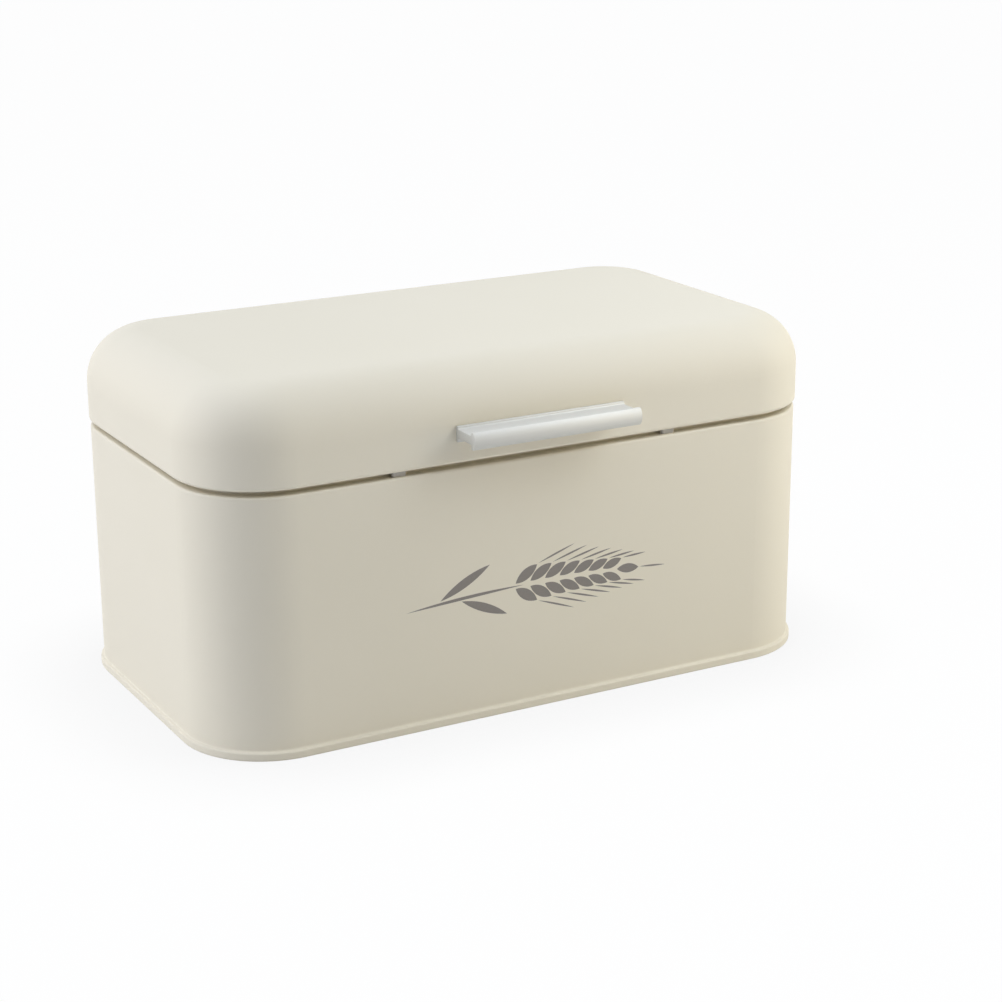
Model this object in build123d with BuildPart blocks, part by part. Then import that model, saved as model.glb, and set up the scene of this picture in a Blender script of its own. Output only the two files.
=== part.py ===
from build123d import *
import os
from math import acos, degrees

# Bread box of coated sheet steel with a rear-hinged lid. Millimetres, +Z up, front towards -Y.
# The origin is the centre of the surface it stands on.

# Box
overall_width = 300.0  # across the bottom seam
overall_depth = 171.0  # across the bottom seam, without handle and hinges
overall_height = 155.0
sheet = 0.7  # coated steel of wall, floor and lid
corner_radius = 37.2  # plan corners of the wall's outer face
overrun = 5.0  # cuts run this far past the faces they open

# Wall
bend_radius = 0.7  # shoulder bends, to the middle of the sheet
neck_inset = 5.0  # from the wall's face in to the neck's face
neck_rise = 8.0  # from the shoulder up to the rim
rim_hem_height = 4.0
side_seam_width = 6.0  # locked seam up the middle of the back
side_seam_groove = 0.4
side_seam_clear = 3.0  # the seam's fold ends this far from floor and shoulder
vent_radius = 2.0
vent_pitch = 11.0
vent_count = 5  # holes in each of the two rows
vent_row_offset = 36.0  # from the side seam to the middle of each row
vent_drop = 24.0  # below the shoulder

# Floor and bottom seam
seam_clearance = 0.1  # between the folded layers
seam_height = 3.8
seam_bend_radius = 0.5  # to the middle of the sheet
floor_height = 6.0  # top of the floor's rim above the ground
floor_bend_radius = 1.5
floor_step_inset = 13.0
floor_step_run = 2.0
floor_step_rise = 1.5
floor_land = 4.0  # flat at the top of the step that the middle panel continues

# Lid
lid_height = 40.3  # from its bottom edge to its top
lid_gap = 2.3  # above the wall's shoulder
lid_overhang = 0.5
lid_edge_radius = 23.2
lip_width = 4.0  # bottom edge turned in under the lid
lip_bend_radius = 1.6

# Bumpers on the front shoulder
bumper_offset = 65.0
bumper_length = 6.5
bumper_width = 2.0
bumper_round = 0.4
bumper_clearance = 0.1

# Handle profile
handle_length = 80.0
handle_depth = 16.0
handle_rise = 12.9  # middle of the handle above the lid's bottom edge
back_flange_height = 6.8
back_flange_thickness = 1.6
front_flange_height = 7.3
front_flange_thickness = 3.0  # at the crown
front_crown = 1.5
groove_depth = 1.2  # channel along the top, below the back flange's edge
finger_depth = 1.8  # channel along the underside, above the back flange's edge
channel_round_share = 0.6  # fillets in the channels, of their depth
handle_edge_radius = 0.4

# Handle screws and washers
screw_spacing = 64.0
screw_radius = 1.5
screw_depth = 7.0  # thread in the handle's web
screw_clearance = 0.05
screw_head_radius = 2.8
screw_head_height = 2.0
screw_head_round = 0.7
recess_length = 3.0
recess_width = 0.7
recess_depth = 1.0
washer_radius = 4.5
washer_thickness = 0.8
hole_clearance = 0.2

# Hinges
hinge_offset = 80.0  # from the middle of the back
hinge_width = 26.0
leaf_sheet = 0.8
leaf_height = 15.0  # from the pin to the end of each leaf
leaf_corner_radius = 3.0
pin_radius = 1.0
pin_clearance = 0.05
pin_head_radius = 1.7
pin_head_height = 0.9
pin_head_round = 0.5
knuckle_gap = 0.3  # from the eyes to the lid, and from eye to eye
lid_eye_width = 9.4
joggle_start = 0.9  # the leaf leaves the eye's side this far from the pin
joggle_end = 2.2
joggle_radius = 0.5
notch_drop = 2.6  # the leaves are cut back this far beside the other leaf's eyes
eye_wrap = 270.0  # degrees of roll round the pin
lug_reach = 1.8  # the stop lug stands this far out of the lid's eye
lid_open_angle = 100.0
stop_slack = 1.0  # degrees between the open limit and the stop

# Rivets
rivet_spacing = 16.0
rivet_offset = 9.5  # from the pin
rivet_radius = 1.25
rivet_clearance = 0.05
rivet_head_radius = 2.6
rivet_head_height = 1.1
rivet_dome = 0.9
rivet_tail_radius = 2.0
rivet_tail_height = 0.8

# Sizes that follow from these
seam_proud = 2 * sheet + seam_clearance
body_width = overall_width - 2 * seam_proud
body_depth = overall_depth - 2 * seam_proud
lid_bottom = overall_height - lid_height
shoulder_height = lid_bottom - lid_gap
foot_bottom = sheet + seam_clearance
foot_top = seam_height - sheet - seam_clearance
rim_top = shoulder_height + neck_rise
lid_width = body_width + 2 * lid_overhang
lid_depth = body_depth + 2 * lid_overhang
lid_corner = corner_radius + lid_overhang
handle_height = lid_bottom + handle_rise
eye_radius = pin_radius + pin_clearance + leaf_sheet / 2
knuckle_radius = pin_radius + pin_clearance + leaf_sheet
hinge_y = lid_depth / 2 + knuckle_gap + knuckle_radius
hinge_height = shoulder_height + lid_gap / 2
hinge_places = {"left": -hinge_offset, "right": hinge_offset}
bumper_places = {"left": -bumper_offset, "right": bumper_offset}

os.makedirs("parts", exist_ok=True)


def back_plane(x, y, z):
    """Plane on a rear face, looking out of the back."""
    return Plane((x, y, z), x_dir=(1, 0, 0), z_dir=(0, 1, 0))


def rivet_plane(x, face_y, up):
    """Outer face of a hinge leaf that lies on face_y, at the middle of its rivets."""
    return back_plane(x, face_y + leaf_sheet, hinge_height + up * rivet_offset)


def rivet_holes(x, face_y, up):
    """Two holes through a leaf and the sheet behind it."""
    with BuildSketch(rivet_plane(x, face_y, up)) as holes:
        with GridLocations(rivet_spacing, 0, 2, 1):
            Circle(rivet_radius + rivet_clearance)
    extrude(holes.sketch, amount=-overrun, mode=Mode.SUBTRACT)


# Plan of the wall, and the plane across it where its folds are drawn: x outwards, y up
with BuildSketch() as wall_plan:
    RectangleRounded(body_width, body_depth, corner_radius)
wall_route = wall_plan.face().outer_wire()
wall_outwards = (wall_route % 0).cross(Vector(0, 0, 1))
fold_plane = Plane(wall_route @ 0, x_dir=wall_outwards, z_dir=-(wall_route % 0))

# Wall: one sheet rolled round the plan, hemmed at the foot, with a shoulder and a hemmed neck
with BuildPart() as body_wall:
    with BuildSketch(fold_plane) as wall_section:
        with BuildLine():
            FilletPolyline(
                (-sheet / 2, foot_bottom),
                (-sheet / 2, shoulder_height - sheet / 2),
                (-sheet / 2 - neck_inset, shoulder_height - sheet / 2),
                (-sheet / 2 - neck_inset, rim_top),
                radius=bend_radius,
            )
        trace(line_width=sheet)
        with Locations((-sheet, foot_bottom)):
            Rectangle(2 * sheet, foot_top - foot_bottom, align=(Align.MIN, Align.MIN))
        with Locations((-neck_inset, rim_top)):
            Rectangle(2 * sheet, rim_hem_height, align=(Align.MAX, Align.MAX))
        fillet(wall_section.vertices().group_by(Axis.Y)[-1], sheet / 2)
    sweep(path=wall_route)
    # Side seam: the fold lies inside, a fine groove shows outside
    side_seam_bottom = floor_height + side_seam_clear
    side_seam_top = shoulder_height - bend_radius - side_seam_clear
    with BuildSketch(Plane.XY.offset(side_seam_bottom)):
        with Locations((0, body_depth / 2 - sheet)):
            Rectangle(side_seam_width, 2 * sheet, align=(Align.CENTER, Align.MAX))
    extrude(amount=side_seam_top - side_seam_bottom)
    with BuildSketch(Plane.XY.offset(side_seam_bottom)):
        with Locations((side_seam_width / 2, body_depth / 2)):
            Rectangle(side_seam_groove, side_seam_groove)
    extrude(amount=side_seam_top - side_seam_bottom, mode=Mode.SUBTRACT)
    # Vents
    with BuildSketch(back_plane(0, body_depth / 2, shoulder_height - vent_drop)):
        with Locations((-vent_row_offset, 0), (vent_row_offset, 0)):
            with GridLocations(vent_pitch, 0, vent_count, 1):
                Circle(vent_radius)
    extrude(amount=-overrun, mode=Mode.SUBTRACT)
    for x in hinge_places.values():
        rivet_holes(x, body_depth / 2, -1)
body_wall.part.label = "body_wall"
export_step(body_wall.part, "parts/body_wall.step")

# Floor: pressed panel with a step, its edge folded down, out and up round the wall's foot
with BuildPart() as base_plate:
    seam_outer = sheet + seam_clearance + sheet / 2
    step_top = -floor_step_inset - floor_step_run
    with BuildSketch(fold_plane):
        with BuildLine():
            FilletPolyline(
                (seam_clearance, seam_height - sheet / 2),
                (seam_outer, seam_height - sheet / 2),
                (seam_outer, sheet / 2),
                (-seam_outer, sheet / 2),
                (-seam_outer, floor_height - sheet / 2),
                (-floor_step_inset, floor_height - sheet / 2),
                (step_top, floor_height + floor_step_rise - sheet / 2),
                (step_top - floor_land, floor_height + floor_step_rise - sheet / 2),
                radius=[seam_bend_radius] * 3 + [floor_bend_radius] * 3,
            )
        trace(line_width=sheet)
    sweep(path=wall_route)
    panel_inset = floor_step_inset + floor_step_run + floor_land / 2
    with BuildSketch(Plane.XY.offset(floor_height + floor_step_rise)):
        RectangleRounded(
            body_width - 2 * panel_inset,
            body_depth - 2 * panel_inset,
            corner_radius - panel_inset,
        )
    extrude(amount=-sheet)
base_plate.part.label = "base_plate"
export_step(base_plate.part, "parts/base_plate.step")

# Bumpers on the flat of the front shoulder, under the lid's lip
bumper_y = -(body_depth / 2 - sheet / 2 - neck_inset / 2)
for side, x in bumper_places.items():
    with BuildPart() as bumper:
        with BuildSketch(Plane.XY.offset(shoulder_height)):
            with Locations((x, bumper_y)):
                SlotOverall(bumper_length, bumper_width)
        extrude(amount=lid_gap - bumper_clearance)
        fillet(bumper.edges().group_by(Axis.Z)[-1], bumper_round)
    bumper.part.label = f"{side}_bumper"
    export_step(bumper.part, f"parts/{side}_bumper.step")

# Hollow of the lid
with BuildPart() as lid_hollow:
    with BuildSketch(Plane.XY.offset(lid_bottom + sheet)):
        RectangleRounded(lid_width - 2 * sheet, lid_depth - 2 * sheet, lid_corner - sheet)
    extrude(amount=lid_height - 2 * sheet)
    fillet(lid_hollow.edges().group_by(Axis.Z)[-1], lid_edge_radius - sheet)
    fillet(lid_hollow.edges().group_by(Axis.Z)[0], lip_bend_radius - sheet)

# Lid: pressed shell with a soft top edge and a bottom edge turned in as a lip
handle_plane = Plane((0, -lid_depth / 2, handle_height), x_dir=(0, -1, 0), z_dir=(-1, 0, 0))
screw_plane = Plane((0, -lid_depth / 2, handle_height), x_dir=(1, 0, 0), z_dir=(0, -1, 0))
with BuildPart() as lid_shell:
    with BuildSketch(Plane.XY.offset(lid_bottom)):
        RectangleRounded(lid_width, lid_depth, lid_corner)
    extrude(amount=lid_height)
    fillet(lid_shell.edges().group_by(Axis.Z)[-1], lid_edge_radius)
    fillet(lid_shell.edges().group_by(Axis.Z)[0], lip_bend_radius)
    add(lid_hollow.part, mode=Mode.SUBTRACT)
    with BuildSketch(Plane.XY.offset(lid_bottom)):
        RectangleRounded(lid_width - 2 * lip_width, lid_depth - 2 * lip_width, lid_corner - lip_width)
    extrude(amount=2 * sheet, mode=Mode.SUBTRACT)
    with BuildSketch(screw_plane):
        with GridLocations(screw_spacing, 0, 2, 1):
            Circle(screw_radius + hole_clearance)
    extrude(amount=-overrun, mode=Mode.SUBTRACT)
    for x in hinge_places.values():
        rivet_holes(x, lid_depth / 2, 1)
lid_shell.part.label = "lid_shell"
export_step(lid_shell.part, "parts/lid_shell.step")

# Handle: extruded profile with two flanges and a web that leaves a finger channel below
with BuildPart() as handle_bar:
    with BuildSketch(handle_plane) as handle_section:
        front_back = handle_depth - front_flange_thickness
        front_corner = handle_depth - front_crown
        front_top = front_flange_height / 2
        web_top = back_flange_height / 2 - groove_depth
        web_low = finger_depth - back_flange_height / 2
        Rectangle(back_flange_thickness, back_flange_height, align=(Align.MIN, Align.CENTER))
        with Locations((0, web_low)):
            Rectangle(front_corner, web_top - web_low, align=(Align.MIN, Align.MIN))
        with BuildLine():
            Polyline(
                (front_corner, -front_top),
                (front_back, -front_top),
                (front_back, front_top),
                (front_corner, front_top),
            )
            ThreePointArc(
                (front_corner, front_top),
                (handle_depth, 0),
                (front_corner, -front_top),
            )
        make_face()
        channel_corners = handle_section.vertices().filter_by_position(Axis.Y, web_low, web_top)
        groove_corners = channel_corners.group_by(Axis.Y)[-1]
        finger_corners = channel_corners.group_by(Axis.Y)[0]
        outer_corners = handle_section.vertices() - channel_corners
        fillet(groove_corners, groove_depth * channel_round_share)
        fillet(finger_corners, finger_depth * channel_round_share)
        fillet(outer_corners, handle_edge_radius)
    extrude(amount=handle_length / 2, both=True)
    with BuildSketch(screw_plane):
        with GridLocations(screw_spacing, 0, 2, 1):
            Circle(screw_radius + screw_clearance)
    extrude(amount=screw_depth + screw_clearance, mode=Mode.SUBTRACT)
handle_bar.part.label = "handle_bar"
export_step(handle_bar.part, "parts/handle_bar.step")

# Screws from inside the lid, with a cross recess, and the washers under their heads
washer_face = screw_plane.offset(-sheet)
head_face = screw_plane.offset(-sheet - washer_thickness)
with BuildPart() as handle_screws:
    with BuildSketch(head_face):
        with GridLocations(screw_spacing, 0, 2, 1):
            Circle(screw_head_radius)
    extrude(amount=-screw_head_height)
    fillet(handle_screws.edges().group_by(Axis.Y)[-1], screw_head_round)
    with BuildSketch(head_face.offset(-screw_head_height)):
        with GridLocations(screw_spacing, 0, 2, 1):
            Rectangle(recess_length, recess_width)
            Rectangle(recess_width, recess_length)
    extrude(amount=recess_depth, mode=Mode.SUBTRACT)
    with BuildSketch(head_face):
        with GridLocations(screw_spacing, 0, 2, 1):
            Circle(screw_radius)
    extrude(amount=washer_thickness + sheet + screw_depth)
handle_screws.part.label = "handle_screws"
export_step(handle_screws.part, "parts/handle_screws.step")

with BuildPart() as handle_washers:
    with BuildSketch(washer_face):
        with GridLocations(screw_spacing, 0, 2, 1):
            Circle(washer_radius)
            Circle(screw_radius + hole_clearance, mode=Mode.SUBTRACT)
    extrude(amount=-washer_thickness)
handle_washers.part.label = "handle_washers"
export_step(handle_washers.part, "parts/handle_washers.step")


def leaf_fold(face_y, up):
    """Middle of a leaf's sheet: flat on face_y, joggled out to the pin and rolled round it."""
    plate = face_y + leaf_sheet / 2 - hinge_y
    FilletPolyline(
        (plate, up * leaf_height),
        (plate, up * joggle_end),
        (-eye_radius, up * joggle_start),
        (-eye_radius, 0),
        radius=joggle_radius,
    )
    CenterArc((0, 0), eye_radius, 180, up * eye_wrap)


def rivet_pair(x, face_y, up):
    """Two rivets with a domed head on the leaf and a flat tail behind the sheet."""
    outer = rivet_plane(x, face_y, up)
    inner = outer.offset(-leaf_sheet - sheet)
    with BuildPart() as pair:
        with BuildSketch(outer):
            with GridLocations(rivet_spacing, 0, 2, 1):
                Circle(rivet_head_radius)
        extrude(amount=rivet_head_height)
        fillet(pair.edges().group_by(Axis.Y)[-1], rivet_dome)
        with BuildSketch(outer):
            with GridLocations(rivet_spacing, 0, 2, 1):
                Circle(rivet_radius)
        extrude(amount=-leaf_sheet - sheet)
        with BuildSketch(inner):
            with GridLocations(rivet_spacing, 0, 2, 1):
                Circle(rivet_tail_radius)
        extrude(amount=-rivet_tail_height)
    return pair.part


# The stop lug on the lid's eye comes round to the face of the lower leaf when the lid is open
leaf_face = hinge_y - body_depth / 2 - leaf_sheet
lug_radius = knuckle_radius + lug_reach
stop_angle = 180 + degrees(acos(leaf_face / lug_radius))
lug_angle = stop_angle + lid_open_angle + stop_slack

for side, x in hinge_places.items():
    pin_plane = Plane((x, hinge_y, hinge_height), x_dir=(0, 1, 0), z_dir=(1, 0, 0))

    # Lower leaf: two eyes, with a notch between them for the lid's eye
    with BuildPart() as body_leaf:
        with BuildSketch(pin_plane):
            with BuildLine():
                leaf_fold(body_depth / 2, -1)
            trace(line_width=leaf_sheet)
        extrude(amount=hinge_width / 2, both=True)
        with BuildSketch(pin_plane):
            with Locations((0, -notch_drop)):
                Rectangle(2 * overrun, 2 * overrun, align=(Align.CENTER, Align.MIN))
        extrude(amount=lid_eye_width / 2 + knuckle_gap, both=True, mode=Mode.SUBTRACT)
        fillet(body_leaf.edges().filter_by(Axis.Y).group_by(Axis.Z)[0], leaf_corner_radius)
        rivet_holes(x, body_depth / 2, -1)
    body_leaf.part.label = f"{side}_hinge_body_leaf"
    export_step(body_leaf.part, f"parts/{side}_hinge_body_leaf.step")

    # Upper leaf: one eye with a stop lug, cut back beside it for the lower eyes
    with BuildPart() as lid_leaf:
        with BuildSketch(pin_plane):
            with BuildLine():
                leaf_fold(lid_depth / 2, 1)
            trace(line_width=leaf_sheet)
            with PolarLocations(eye_radius, 1, start_angle=lug_angle):
                Rectangle(lug_radius - eye_radius, leaf_sheet, align=(Align.MIN, Align.MIN))
        extrude(amount=hinge_width / 2, both=True)
        for end in (-1, 1):
            with BuildSketch(pin_plane.offset(end * lid_eye_width / 2)):
                with Locations((0, notch_drop)):
                    Rectangle(2 * overrun, 2 * overrun, align=(Align.CENTER, Align.MAX))
            extrude(amount=end * hinge_width / 2, mode=Mode.SUBTRACT)
        fillet(lid_leaf.edges().filter_by(Axis.Y).group_by(Axis.Z)[-1], leaf_corner_radius)
        rivet_holes(x, lid_depth / 2, 1)
    lid_leaf.part.label = f"{side}_hinge_lid_leaf"
    export_step(lid_leaf.part, f"parts/{side}_hinge_lid_leaf.step")

    # Pin with a headed end on each side
    with BuildPart() as pin:
        pin_half = hinge_width / 2 + knuckle_gap
        with BuildSketch(pin_plane):
            Circle(pin_radius)
        extrude(amount=pin_half, both=True)
        for end in (-1, 1):
            with BuildSketch(pin_plane.offset(end * pin_half)):
                Circle(pin_head_radius)
            extrude(amount=end * pin_head_height)
        fillet(pin.edges().group_by(Axis.X)[0] + pin.edges().group_by(Axis.X)[-1], pin_head_round)
    pin.part.label = f"{side}_hinge_pin"
    export_step(pin.part, f"parts/{side}_hinge_pin.step")

    body_rivets = rivet_pair(x, body_depth / 2, -1)
    body_rivets.label = f"{side}_body_rivets"
    export_step(body_rivets, f"parts/{side}_body_rivets.step")

    lid_rivets = rivet_pair(x, lid_depth / 2, 1)
    lid_rivets.label = f"{side}_lid_rivets"
    export_step(lid_rivets, f"parts/{side}_lid_rivets.step")
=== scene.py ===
from math import asin, cos, pi, radians, sin

import bmesh
import bpy
from mathutils import Matrix, Vector


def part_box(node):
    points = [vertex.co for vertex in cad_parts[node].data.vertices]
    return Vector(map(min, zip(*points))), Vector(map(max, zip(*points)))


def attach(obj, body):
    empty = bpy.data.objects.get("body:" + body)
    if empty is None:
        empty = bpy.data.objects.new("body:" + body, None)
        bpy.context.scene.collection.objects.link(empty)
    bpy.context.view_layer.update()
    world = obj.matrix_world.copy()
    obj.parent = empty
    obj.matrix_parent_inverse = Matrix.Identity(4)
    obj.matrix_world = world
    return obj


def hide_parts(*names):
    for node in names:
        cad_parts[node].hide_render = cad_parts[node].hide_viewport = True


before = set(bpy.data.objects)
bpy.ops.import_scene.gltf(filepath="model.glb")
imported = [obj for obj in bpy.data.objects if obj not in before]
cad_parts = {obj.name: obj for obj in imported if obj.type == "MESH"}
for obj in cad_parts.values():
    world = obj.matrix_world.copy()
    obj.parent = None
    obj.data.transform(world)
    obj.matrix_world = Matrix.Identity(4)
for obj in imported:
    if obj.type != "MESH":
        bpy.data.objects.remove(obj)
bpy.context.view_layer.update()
scene = bpy.context.scene
mm = 0.001


# Materials

def linear(hex_colour):
    """An sRGB hex colour as linear red, green, blue and alpha."""
    shares = [int(hex_colour[i:i + 2], 16) / 255 for i in (0, 2, 4)]
    return [s / 12.92 if s <= 0.04045 else ((s + 0.055) / 1.055) ** 2.4 for s in shares] + [1.0]


def add_node(tree, kind, inputs=None, **settings):
    """Adds a node with its settings, and its inputs as values or as links from other nodes' outputs."""
    node = tree.nodes.new(kind)
    for name, value in settings.items():
        setattr(node, name, value)
    for name, value in (inputs or {}).items():
        if isinstance(value, bpy.types.NodeSocket):
            tree.links.new(value, node.inputs[name])
        else:
            node.inputs[name].default_value = value
    return node


def new_tree(name):
    """An empty material and its node tree."""
    material = bpy.data.materials.new(name)
    material.use_nodes = True
    material.node_tree.nodes.clear()
    return material, material.node_tree


def per_mm(size):
    """Noise scale whose features are about this many millimetres across."""
    return 1 / (size * mm)


def two_tone_surface(material, pattern, colours, roughness, **inputs):
    """Ends a material with a shader whose tint and roughness follow a pattern, between two values each."""
    tree = material.node_tree
    # A colour mix has its two colours on sockets 6 and 7, and gives the mixed one on output 2
    tint = add_node(tree, "ShaderNodeMix", {
        "Factor": pattern, 6: linear(colours[0]), 7: linear(colours[1]),
    }, data_type="RGBA")
    gloss = add_node(tree, "ShaderNodeMapRange", {
        "Value": pattern, "To Min": roughness[0], "To Max": roughness[1],
    })
    shader = add_node(tree, "ShaderNodeBsdfPrincipled", {
        "Base Color": tint.outputs[2], "Roughness": gloss.outputs["Result"], **inputs,
    })
    add_node(tree, "ShaderNodeOutputMaterial", {"Surface": shader.outputs["BSDF"]})
    return material


def cream_powder_coat():
    """Polyester powder baked on sheet steel: an even satin-matt cream with a faint orange peel."""
    drift_size = 90  # the coat's thickness, and with it the tint, drifts over a hand's width
    peel_size = 1.6
    peel_depth = 0.02 * mm
    material, tree = new_tree("cream_polyester_powder_coat")
    place = add_node(tree, "ShaderNodeTexCoord").outputs["Object"]
    drift = add_node(tree, "ShaderNodeTexNoise", {
        "Vector": place, "Scale": per_mm(drift_size), "Detail": 2.0,
    })
    peel = add_node(tree, "ShaderNodeTexNoise", {
        "Vector": place, "Scale": per_mm(peel_size), "Detail": 1.0,
    })
    bump = add_node(tree, "ShaderNodeBump", {
        "Height": peel.outputs["Fac"], "Strength": 0.25, "Distance": peel_depth,
    })
    return two_tone_surface(
        material, drift.outputs["Fac"], colours=("E6DECA", "E3DBC6"), roughness=(0.62, 0.68),
        Normal=bump.outputs["Normal"], IOR=1.5,
    )


def satin_aluminium():
    """Extruded aluminium, satin anodised: half-metal pale grey under a milky film, with lines along it."""
    # Draw lines are a few hundredths of a millimetre apart, and are drawn wider so that they show
    line_length = 60
    line_spacing = 0.5
    line_depth = 0.02 * mm
    material, tree = new_tree("satin_anodised_aluminium")
    place = add_node(tree, "ShaderNodeTexCoord").outputs["Object"]
    drawn = add_node(tree, "ShaderNodeMapping", {
        "Vector": place, "Scale": (per_mm(line_length), per_mm(line_spacing), per_mm(line_spacing)),
    })
    lines = add_node(tree, "ShaderNodeTexNoise", {
        "Vector": drawn.outputs["Vector"], "Scale": 1.0, "Detail": 3.0,
    })
    bump = add_node(tree, "ShaderNodeBump", {
        "Height": lines.outputs["Fac"], "Strength": 0.3, "Distance": line_depth,
    })
    return two_tone_surface(
        material, lines.outputs["Fac"], colours=("C6C5BF", "D0CFC9"), roughness=(0.6, 0.7),
        Normal=bump.outputs["Normal"], Metallic=0.5,
    )


def plated_steel():
    """Stamped steel, zinc plated: a cool grey metal with a mottle of brighter and duller spots."""
    # The mottle of plating is well under a millimetre, and is drawn coarser so that it shows
    mottle_size = 2.5
    mottle_depth = 0.02 * mm
    material, tree = new_tree("zinc_plated_steel")
    place = add_node(tree, "ShaderNodeTexCoord").outputs["Object"]
    mottle = add_node(tree, "ShaderNodeTexNoise", {
        "Vector": place, "Scale": per_mm(mottle_size), "Detail": 4.0,
    })
    bump = add_node(tree, "ShaderNodeBump", {
        "Height": mottle.outputs["Fac"], "Strength": 0.2, "Distance": mottle_depth,
    })
    return two_tone_surface(
        material, mottle.outputs["Fac"], colours=("A9ABAC", "C9CAC8"), roughness=(0.26, 0.48),
        Normal=bump.outputs["Normal"], Metallic=1.0,
    )


def milky_silicone():
    """Moulded silicone rubber: a milky grey with a matt moulded skin."""
    # The grain of the mould is some hundredths of a millimetre, and is drawn coarser so that it shows
    skin_grain = 0.8
    material, tree = new_tree("moulded_silicone_rubber")
    place = add_node(tree, "ShaderNodeTexCoord").outputs["Object"]
    skin = add_node(tree, "ShaderNodeTexNoise", {
        "Vector": place, "Scale": per_mm(skin_grain), "Detail": 2.0,
    })
    return two_tone_surface(
        material, skin.outputs["Fac"], colours=("AFABA4", "BDB9B2"), roughness=(0.5, 0.6), IOR=1.41,
    )


def grey_print():
    """Enamel ink, screen printed: an even, warm grey film, thicker and thinner by turns."""
    # The screen's mesh is about a tenth of a millimetre, and is drawn coarser so that it shows
    film_grain = 1.2
    material, tree = new_tree("screen_printed_enamel_ink")
    place = add_node(tree, "ShaderNodeTexCoord").outputs["Object"]
    film = add_node(tree, "ShaderNodeTexNoise", {
        "Vector": place, "Scale": per_mm(film_grain), "Detail": 2.0,
    })
    return two_tone_surface(
        material, film.outputs["Fac"], colours=("7D7771", "888179"), roughness=(0.42, 0.55), IOR=1.5,
    )


finishes = {
    "cream_powder_coat": cream_powder_coat(),
    "satin_aluminium": satin_aluminium(),
    "plated_steel": plated_steel(),
    "soft_silicone": milky_silicone(),
    "grey_print": grey_print(),
}
# The sheet pieces are coated, the bumpers are rubber, and hinges and fasteners are plated
sheet_nodes = ("body_wall", "base_plate", "lid_shell")
for name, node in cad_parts.items():
    finish = "cream_powder_coat" if name in sheet_nodes else "plated_steel"
    if name.endswith("bumper"):
        finish = "soft_silicone"
    node.data.materials.clear()
    node.data.materials.append(finishes[finish])


# Pieces

seam_low, seam_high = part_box("base_plate")
seam_proud = 1.5 * mm  # out of the wall
seam_top = 3.8 * mm  # above the floor
body_width = seam_high[0] - seam_low[0] - 2 * seam_proud
body_depth = seam_high[1] - seam_low[1] - 2 * seam_proud
body_corner = 37.2 * mm  # radius of the wall in plan
merge_distance = 0.001 * mm
crease_angle = radians(40)


def new_piece(name, shape, finish, body):
    """Closes a shape's seams, turns its faces outwards and makes it a piece that rides on a body."""
    bmesh.ops.remove_doubles(shape, verts=shape.verts, dist=merge_distance)
    bmesh.ops.recalc_face_normals(shape, faces=shape.faces)
    for face in shape.faces:
        face.smooth = True
    for edge in shape.edges:
        edge.smooth = edge.calc_face_angle(0.0) < crease_angle
    piece = bpy.data.objects.new(name, bpy.data.meshes.new(name))
    shape.to_mesh(piece.data)
    shape.free()
    piece.data.materials.append(finishes[finish])
    scene.collection.objects.link(piece)
    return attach(piece, body)


def joined(shape, points):
    """Vertices at these points, each joined to the next by an edge."""
    verts = [shape.verts.new(point) for point in points]
    for first, second in zip(verts, verts[1:]):
        shape.edges.new((first, second))
    return verts


def only(geometry, kind):
    """The vertices, edges or faces among an operator's results."""
    return [part for part in geometry if isinstance(part, kind)]


def roll_round_plan(shape, width, depth, corner, steps):
    """Carries a section, drawn at the left end of the front, once round the rounded plan."""
    section = list(shape.edges)
    for quarter in range(4):
        turn = Matrix.Rotation(quarter * pi / 2, 3, "Z")
        along, across = (width, depth) if quarter % 2 == 0 else (depth, width)
        run = along - 2 * corner
        grown = bmesh.ops.extrude_edge_only(shape, edges=section)["geom"]
        ends = only(grown, bmesh.types.BMVert)
        bmesh.ops.translate(shape, verts=ends, vec=turn @ Vector((run, 0, 0)))
        rim = [e for e in only(grown, bmesh.types.BMEdge) if e.verts[0] in ends and e.verts[1] in ends]
        turned = bmesh.ops.spin(
            shape, geom=ends + rim, cent=turn @ Vector((run / 2, corner - across / 2, 0)),
            axis=(0, 0, 1), dvec=(0, 0, 0), angle=pi / 2, steps=steps, use_merge=False,
        )
        section = only(turned["geom_last"], bmesh.types.BMEdge)


def seam_coat():
    """Powder that ran into the bottom seam and bridges the wall and the seam's top edge."""
    fill = 0.9 * mm
    face = -body_depth / 2
    start = body_corner - body_width / 2
    shape = bmesh.new()
    low, high = joined(shape, [(start, face, seam_top), (start, face, seam_top + fill)])
    arc = bmesh.ops.spin(
        shape, geom=[high], cent=(start, face - fill, seam_top + fill),
        axis=(1, 0, 0), dvec=(0, 0, 0), angle=-pi / 2, steps=5, use_merge=False,
    )
    shape.edges.new((only(arc["geom_last"], bmesh.types.BMVert)[0], low))
    roll_round_plan(shape, body_width, body_depth, body_corner, steps=16)
    new_piece("seam_coat", shape, "cream_powder_coat", "box")


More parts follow.
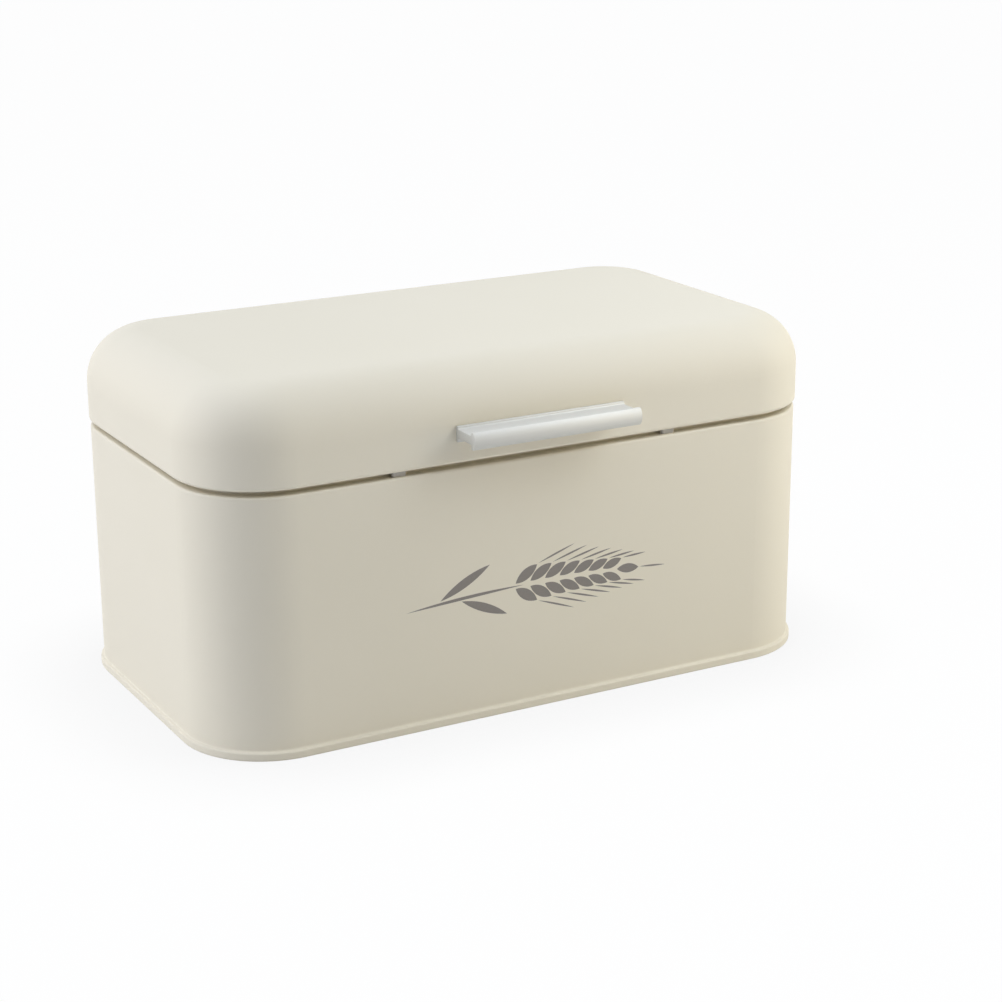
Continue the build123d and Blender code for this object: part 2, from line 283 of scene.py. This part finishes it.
def handle():
    """Extruded handle: back flange, web with a channel above and below, and a crowned front flange."""
    low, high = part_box("handle_bar")
    length = high[0] - low[0]
    depth = high[1] - low[1]
    middle = (low[2] + high[2]) / 2
    # Faces of the section, out from the lid or up from the handle's middle
    crown = 1.5 * mm
    front_thickness = 3 * mm
    back = 1.6 * mm
    back_edge = 3.4 * mm
    front = depth - front_thickness
    front_corner = depth - crown
    front_edge = (high[2] - low[2]) / 2
    web_top = 2.2 * mm
    web_low = -1.6 * mm
    end_round = 0.2 * mm
    same_place = 0.01 * mm
    shape = bmesh.new()

    def at(out, up):
        """A point of the section at the handle's left end."""
        return (low[0], high[1] - out, middle + up)

    section = joined(shape, [
        at(front_corner, front_edge), at(front, front_edge), at(front, web_top), at(back, web_top),
        at(back, back_edge), at(0, back_edge), at(0, -back_edge), at(back, -back_edge),
        at(back, web_low), at(front, web_low), at(front, -front_edge), at(front_corner, -front_edge),
    ])
    crown_radius = (front_edge ** 2 + crown ** 2) / (2 * crown)
    arc = bmesh.ops.spin(
        shape, geom=[section[-1]], cent=at(depth - crown_radius, 0), axis=(1, 0, 0), dvec=(0, 0, 0),
        angle=-2 * asin(front_edge / crown_radius), steps=14, use_merge=False,
    )
    arc_end = only(arc["geom_last"], bmesh.types.BMVert)
    bmesh.ops.remove_doubles(shape, verts=[section[0]] + arc_end, dist=same_place)
    top_channel = section[2:4]
    low_channel = section[8:10]
    flange_edges = [section[i] for i in (1, 4, 5, 6, 7, 10)]
    for corners, rounding in (
        (top_channel, 0.72 * mm), (low_channel, 1.08 * mm), (flange_edges, 0.4 * mm),
    ):
        bmesh.ops.bevel(
            shape, geom=corners, offset=rounding, affect="VERTICES", segments=5, profile=0.5, material=-1,
        )
    end = bmesh.ops.contextual_create(shape, geom=list(shape.edges))["faces"]
    grown = bmesh.ops.extrude_face_region(shape, geom=end)["geom"]
    bmesh.ops.translate(shape, verts=only(grown, bmesh.types.BMVert), vec=(length, 0, 0))
    rims = [e for e in shape.edges if abs(e.verts[0].co.x - e.verts[1].co.x) < same_place]
    bmesh.ops.bevel(
        shape, geom=rims, offset=end_round, affect="EDGES", segments=2, profile=0.5, material=-1,
    )
    piece = new_piece("handle", shape, "satin_aluminium", "lid")
    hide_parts("handle_bar")


def pointed_oval(shape, base, length, width, angle):
    """A flat pointed oval of two arcs, in millimetres, from its base out along a line at this angle."""
    length, rise = length * mm, width / 2 * mm
    radius = (length ** 2 / 4 + rise ** 2) / (2 * rise)
    earlier = set(shape.verts)
    corner = shape.verts.new((0, 0, 0))
    for side in (1, -1):
        arc = bmesh.ops.spin(
            shape, geom=[corner], cent=(length / 2, 0, side * (rise - radius)), axis=(0, 1, 0),
            dvec=(0, 0, 0), angle=2 * asin(length / 2 / radius), steps=10, use_merge=False,
        )
        corner = only(arc["geom_last"], bmesh.types.BMVert)[0]
    outline = [vert for vert in shape.verts if vert not in earlier]
    turn = Matrix.Rotation(-radians(angle), 3, "Y")
    bmesh.ops.rotate(shape, verts=outline, cent=(0, 0, 0), matrix=turn)
    bmesh.ops.translate(shape, verts=outline, vec=(base[0] * mm, 0, base[1] * mm))
    bmesh.ops.remove_doubles(shape, verts=outline, dist=merge_distance)
    edges = {edge for vert in outline if vert.is_valid for edge in vert.link_edges}
    bmesh.ops.contextual_create(shape, geom=list(edges))


def wheat_print():
    """A plain ear of wheat on its stalk, printed across the front."""
    half_length = 64
    grain_pairs, grain_pitch, first_grain = 7, 7.2, -12
    grain_base = 1.2  # above and below the middle of the ear
    awn_gap, awn_width, awn_turn = 0.7, 0.8, 14
    arch = 3 * mm
    film, sunk = 0.04 * mm, 0.01 * mm
    print_height = 53.5 * mm
    shape = bmesh.new()
    # Stalk and its two leaves
    pointed_oval(shape, base=(-half_length, 0), length=56, width=1.4, angle=0)
    pointed_oval(shape, base=(-48, 1.2), length=26, width=4.0, angle=25)
    pointed_oval(shape, base=(-38, -1.2), length=24, width=3.8, angle=-25)
    # Grains in pairs, each with an awn, smaller and closer to the stalk towards the tip
    for pair in range(grain_pairs):
        along = grain_pitch * pair + first_grain
        angle = 33 - 2 * pair
        length = 12.5 - 0.4 * pair
        width = 4.7 - 0.15 * pair
        awn_length = 19 - 1.2 * pair
        tip = Vector((cos(radians(angle)), sin(radians(angle)))) * (length + awn_gap)
        for side in (1, -1):
            pointed_oval(shape, (along, side * grain_base), length, width, side * angle)
            awn_base = (along + tip.x, side * (grain_base + tip.y))
            pointed_oval(shape, awn_base, awn_length, awn_width, side * (angle - awn_turn))
    # Last grain and its awn
    pointed_oval(shape, base=(38.5, 0), length=11, width=4.2, angle=0)
    pointed_oval(shape, base=(50.2, 0), length=13, width=awn_width, angle=0)
    for vert in shape.verts:
        vert.co.z += arch * (1 - (vert.co.x / (half_length * mm)) ** 2)
    grown = bmesh.ops.extrude_face_region(shape, geom=list(shape.faces))["geom"]
    bmesh.ops.translate(shape, verts=only(grown, bmesh.types.BMVert), vec=(0, -film, 0))
    bmesh.ops.translate(shape, verts=shape.verts, vec=(0, sunk - body_depth / 2, print_height))
    new_piece("wheat_print", shape, "grey_print", "box")


seam_coat()
handle()
wheat_print()


# Floor, light and camera

def seen_or_mirrored(tree):
    """One for rays from the camera, mirrored or passed through, and zero for those that light the box."""
    path = add_node(tree, "ShaderNodeLightPath")
    seen = add_node(tree, "ShaderNodeMath", {
        0: path.outputs["Is Camera Ray"], 1: path.outputs["Is Glossy Ray"],
    }, operation="MAXIMUM")
    return add_node(tree, "ShaderNodeMath", {
        0: seen.outputs[0], 1: path.outputs["Is Transmission Ray"],
    }, operation="MAXIMUM").outputs[0]


def studio_floor():
    """A wide white sweep that the box stands on, with a soft shadow close round the box: mostly painted,
    and a little cast by the lamps.
    """
    half_size = 4000 * mm
    shadow_reach = 60 * mm
    white_share = 0.97  # of what is seen directly or mirrored, the rest is the lit paper
    shape = bmesh.new()
    bmesh.ops.create_grid(shape, x_segments=1, y_segments=1, size=half_size)
    floor = bpy.data.objects.new("studio_floor", bpy.data.meshes.new("studio_floor"))
    shape.to_mesh(floor.data)
    shape.free()
    material, tree = new_tree("matt_white_paper")
    paper = add_node(tree, "ShaderNodeBsdfPrincipled", {
        "Base Color": linear("E2E2E2"), "Roughness": 0.9, "Specular IOR Level": 0.1,
    })
    # Near the box less of the room is open, and the white dims a little there: a painted shadow
    openness = add_node(tree, "ShaderNodeAmbientOcclusion", {"Distance": shadow_reach}, samples=4)
    shade = add_node(tree, "ShaderNodeMapRange", {
        "Value": openness.outputs["AO"], "From Min": 0.5, "To Min": 0.92, "To Max": 1.0,
    })
    white = add_node(tree, "ShaderNodeEmission", {
        "Color": linear("FFFFFF"), "Strength": shade.outputs["Result"],
    })
    share = add_node(tree, "ShaderNodeMath", {
        0: seen_or_mirrored(tree), 1: white_share,
    }, operation="MULTIPLY")
    sweep = add_node(tree, "ShaderNodeMixShader", {
        0: share.outputs[0], 1: paper.outputs["BSDF"], 2: white.outputs["Emission"],
    })
    add_node(tree, "ShaderNodeOutputMaterial", {"Surface": sweep.outputs["Shader"]})
    floor.data.materials.append(material)
    scene.collection.objects.link(floor)


def overhead_light(towards, spread, strength, colour):
    """Broad even light from above, a little to the left and behind, which leaves soft shadows."""
    light = bpy.data.lights.new("overhead_light", "SUN")
    light.angle = radians(spread)
    light.energy = strength
    light.color = linear(colour)[:3]
    lamp = bpy.data.objects.new("overhead_light", light)
    lamp.rotation_euler = (-Vector(towards)).to_track_quat("-Z", "Y").to_euler()
    scene.collection.objects.link(lamp)


def soft_box(name, place, size, power, colour):
    """A wide square studio light that faces the middle of the box."""
    light = bpy.data.lights.new(name, "AREA")
    light.size = size
    light.energy = power
    light.color = linear(colour)[:3]
    lamp = bpy.data.objects.new(name, light)
    lamp.location = place
    box_middle = Vector((0, 0, 90 * mm))
    lamp.rotation_euler = (box_middle - Vector(place)).to_track_quat("-Z", "Y").to_euler()
    scene.collection.objects.link(lamp)


def studio_world():
    """Dim even light, with a white background for what is seen directly or mirrored."""
    world = bpy.data.worlds.new("studio")
    world.use_nodes = True
    tree = world.node_tree
    tree.nodes.clear()
    strength = add_node(tree, "ShaderNodeMapRange", {
        "Value": seen_or_mirrored(tree), "To Min": 0.06, "To Max": 0.985,
    })
    backdrop = add_node(tree, "ShaderNodeBackground", {
        "Color": linear("FFFFFF"), "Strength": strength.outputs["Result"],
    })
    add_node(tree, "ShaderNodeOutputWorld", {"Surface": backdrop.outputs["Background"]})
    scene.world = world


def camera():
    """A short tele lens, from the left front and a little above."""
    lens = bpy.data.cameras.new("camera")
    lens.sensor_width = 36
    lens.lens = 82.03
    lens.clip_start = 0.01
    lens.clip_end = 50
    view = bpy.data.objects.new("camera", lens)
    place = Matrix.Translation((-0.46033, -0.87871, 0.37991))
    turn = Matrix.Rotation(radians(-29.05), 4, "Z")
    tilt = Matrix.Rotation(radians(90 - 17.38), 4, "X")
    roll = Matrix.Rotation(radians(-0.28), 4, "Z")
    view.matrix_world = place @ turn @ tilt @ roll
    scene.collection.objects.link(view)
    scene.camera = view


studio_floor()
studio_world()
# Lights have places and sizes in metres, power in watts and spread in degrees
overhead_light(towards=(-0.25, 0.25, 0.93), spread=100, strength=1.8, colour="E2ECFF")
soft_box("left_soft_box", place=(-1.3, 0.4, 0.75), size=1.4, power=14.2, colour="F7F8FF")
soft_box("high_right_soft_box", place=(0.6, -0.45, 0.75), size=0.6, power=4.8, colour="EEF6FF")
soft_box("low_right_soft_box", place=(0.7, -0.6, 0.3), size=0.6, power=2.2, colour="FFEFCF")
camera()
scene.view_settings.view_transform = "Standard"
